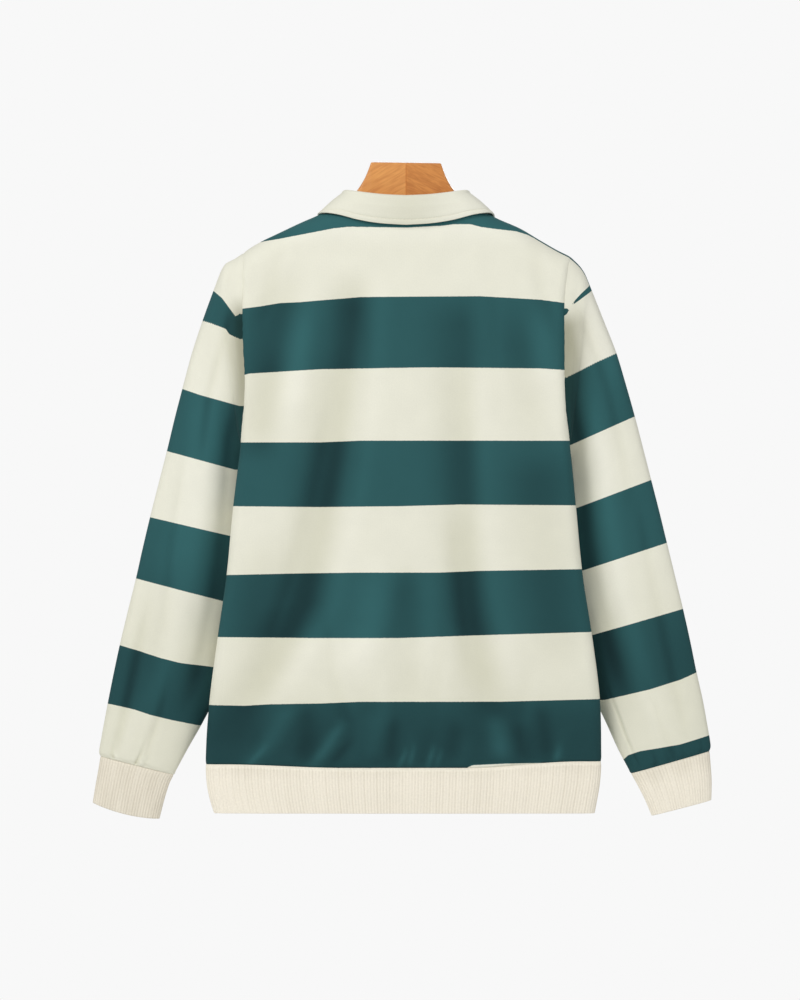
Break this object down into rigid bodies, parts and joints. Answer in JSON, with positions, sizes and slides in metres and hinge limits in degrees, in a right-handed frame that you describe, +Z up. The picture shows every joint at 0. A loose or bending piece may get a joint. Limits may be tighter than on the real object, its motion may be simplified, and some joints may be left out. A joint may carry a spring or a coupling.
{
  "type": "rugby shirt on a wooden hanger",
  "caption": "Long-sleeved rugby shirt with a fold-down collar, broad hoops and ribbed hem and cuffs, hanging on a broad-necked wooden hanger.",
  "frame": {"origin": "middle of the flat top of the hanger's neck, where the shirt and hanger are held", "axes": "+Z up, +X towards the right-hand sleeve as seen from the back of the shirt, +Y towards the front of the shirt; the back faces -Y"},
  "size_m": [0.7305, 0.0853, 0.7736],
  "materials": {
    "hooped_jersey_back": "matt cotton jersey in deep green and cream hoops",
    "hooped_jersey_front": "matt cotton jersey in deep green and cream hoops",
    "hooped_jersey_sleeve": "matt cotton jersey in deep green and cream hoops",
    "rib_knit": "matt cream rib knit",
    "collar_cloth": "matt cream collar cloth",
    "placket_cloth": "matt cream woven cloth",
    "button_plastic": "cream, gently glossy",
    "varnished_wood": "clear varnished wood"
  },
  "bodies": {
    "root": {"back_panel": "hooped_jersey_back", "front_panel": "hooped_jersey_front", "sleeve_left": "hooped_jersey_sleeve", "sleeve_right": "hooped_jersey_sleeve", "hem_rib": "rib_knit", "cuff_left": "rib_knit", "cuff_right": "rib_knit", "collar": "collar_cloth", "placket_upper": "placket_cloth", "placket_under": "placket_cloth", "button_top": "button_plastic", "button_middle": "button_plastic", "button_low": "button_plastic", "hanger": "varnished_wood"}
  },
  "joints": []
}
